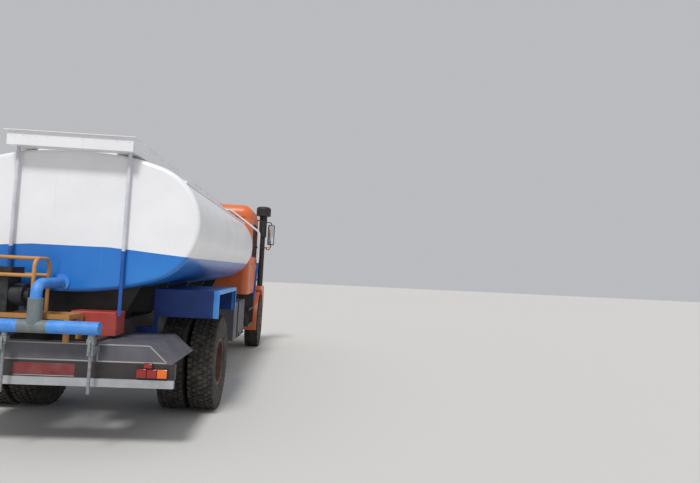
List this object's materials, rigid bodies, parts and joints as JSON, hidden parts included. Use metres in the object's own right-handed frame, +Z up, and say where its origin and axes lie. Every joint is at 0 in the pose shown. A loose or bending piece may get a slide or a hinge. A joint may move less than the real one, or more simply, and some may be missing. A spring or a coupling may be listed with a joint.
{
  "type": "water tanker truck",
  "caption": "Two-axle water tanker truck with a bonneted cab, oval tank, spill tray, spray bar and pump set; wheels, steering, doors, bonnet and lids move.",
  "frame": {"origin": "on the ground under the middle of the truck's box", "axes": "+Z up, -Y towards the front, +X towards the truck's left side"},
  "size_m": [2.889, 8.324, 3.006],
  "materials": {
    "tyre": "moulded tyre rubber, dusty on the tread",
    "wheel_paint": "rust red wheel paint",
    "chassis_paint": "black chassis paint, satin",
    "tank_paint": "white gloss paint over a blue lower half",
    "blue_paint": "bright blue gloss paint",
    "cab_paint": "orange cab paint, faded",
    "grey_paint": "dark grey satin paint",
    "light_grey_paint": "light grey satin paint",
    "red_paint": "red gloss paint",
    "tan_paint": "tan paint on tube",
    "engine_paint": "painted castings",
    "galvanised_steel": "dull galvanised steel",
    "black_plastic": "moulded black plastic",
    "lamp_lens": "red and amber lamp lens",
    "headlamp_lens": "clear lamp lens in a bright bezel",
    "window_glass": "clear safety glass",
    "seat_vinyl": "dark seat cover"
  },
  "bodies": {
    "chassis": {"front_axle": "chassis_paint", "rear_axle": "chassis_paint", "chassis_frame": "chassis_paint", "leaf_springs": "chassis_paint", "engine_block": "engine_paint", "propshaft": "chassis_paint", "fuel_tank": "grey_paint", "side_lockers": "grey_paint", "air_tank": "chassis_paint", "silencer": "galvanised_steel", "tank_shell": "tank_paint", "drip_strips": "tank_paint", "tank_bearers": "chassis_paint", "spill_tray": "tank_paint", "manhole_collar": "tank_paint", "drain_pipes": "blue_paint", "rear_mudguards": "blue_paint", "rear_deck": "grey_paint", "rear_beams": "light_grey_paint", "tail_lamps": "lamp_lens", "spray_manifold": "grey_paint", "pump_frame": "tan_paint", "pump_engine": "engine_paint", "tool_box": "red_paint", "cab_shell": "cab_paint", "cab_roof": "cab_paint", "cab_glass": "window_glass", "bonnet_hinge": "cab_paint", "front_wings": "cab_paint", "grille": "black_plastic", "radiator": "engine_paint", "front_bumper": "chassis_paint", "headlamps": "headlamp_lens", "cab_steps": "chassis_paint", "snorkel": "black_plastic", "mirrors": "black_plastic", "seats": "seat_vinyl", "dashboard": "black_plastic", "steering_wheel": "black_plastic"},
    "knuckle_left": {"knuckle_left": "chassis_paint"},
    "front_wheel_left": {"front_wheel_left": "wheel_paint", "front_tyre_left": "tyre"},
    "rear_wheels_left": {"rear_wheels_left": "wheel_paint", "rear_tyres_left": "tyre"},
    "door_left": {"door_left": "cab_paint", "door_glass_left": "window_glass"},
    "knuckle_right": {"knuckle_right": "chassis_paint"},
    "front_wheel_right": {"front_wheel_right": "wheel_paint", "front_tyre_right": "tyre"},
    "rear_wheels_right": {"rear_wheels_right": "wheel_paint", "rear_tyres_right": "tyre"},
    "door_right": {"door_right": "cab_paint", "door_glass_right": "window_glass"},
    "tie_rod": {"tie_rod": "chassis_paint"},
    "bonnet": {"bonnet": "cab_paint"},
    "manhole_lid": {"manhole_lid": "tank_paint"},
    "locker_door": {"locker_door": "grey_paint"}
  },
  "joints": [
    {"name": "steer_left", "type": "hinge", "parent": "chassis", "child": "knuckle_left", "pos_m": [0.88, -3.16, 0.545], "axis": [0, 0, 1], "range_deg": [-35, 35]},
    {"name": "front_spin_left", "type": "hinge", "parent": "knuckle_left", "child": "front_wheel_left", "pos_m": [1.095, -3.16, 0.545], "axis": [1, 0, 0], "continuous": true},
    {"name": "rear_spin_left", "type": "hinge", "parent": "chassis", "child": "rear_wheels_left", "pos_m": [0.9395, 2.24, 0.545], "axis": [1, 0, 0], "continuous": true},
    {"name": "door_left", "type": "hinge", "parent": "chassis", "child": "door_left", "pos_m": [1.116, -2.83, 1.6], "axis": [0, 0, -1], "range_deg": [0, 70]},
    {"name": "steer_right", "type": "hinge", "parent": "chassis", "child": "knuckle_right", "pos_m": [-0.88, -3.16, 0.545], "axis": [0, 0, 1], "range_deg": [-35, 35]},
    {"name": "front_spin_right", "type": "hinge", "parent": "knuckle_right", "child": "front_wheel_right", "pos_m": [-1.095, -3.16, 0.545], "axis": [1, 0, 0], "continuous": true},
    {"name": "rear_spin_right", "type": "hinge", "parent": "chassis", "child": "rear_wheels_right", "pos_m": [-0.9395, 2.24, 0.545], "axis": [1, 0, 0], "continuous": true},
    {"name": "door_right", "type": "hinge", "parent": "chassis", "child": "door_right", "pos_m": [-1.116, -2.83, 1.6], "axis": [0, 0, 1], "range_deg": [0, 70]},
    {"name": "tie_rod_swing", "type": "hinge", "parent": "knuckle_left", "child": "tie_rod", "pos_m": [0.88, -2.94, 0.47], "axis": [0, 0, 1], "range_deg": [-35, 35]},
    {"name": "bonnet_hinge", "type": "hinge", "parent": "chassis", "child": "bonnet", "pos_m": [0, -3.02, 1.896], "axis": [-1, 0, 0], "range_deg": [0, 50]},
    {"name": "manhole_lid_hinge", "type": "hinge", "parent": "chassis", "child": "manhole_lid", "pos_m": [0, 0.888, 2.794], "axis": [1, 0, 0], "range_deg": [0, 100]},
    {"name": "locker_door_hinge", "type": "hinge", "parent": "chassis", "child": "locker_door", "pos_m": [-1.136, -0.61, 0.545], "axis": [0, -1, 0], "range_deg": [0, 90]}
  ],
  "couplings": [
    {"joint": "steer_right", "follows": "steer_left", "ratio": 1},
    {"joint": "tie_rod_swing", "follows": "steer_left", "ratio": -1}
  ]
}
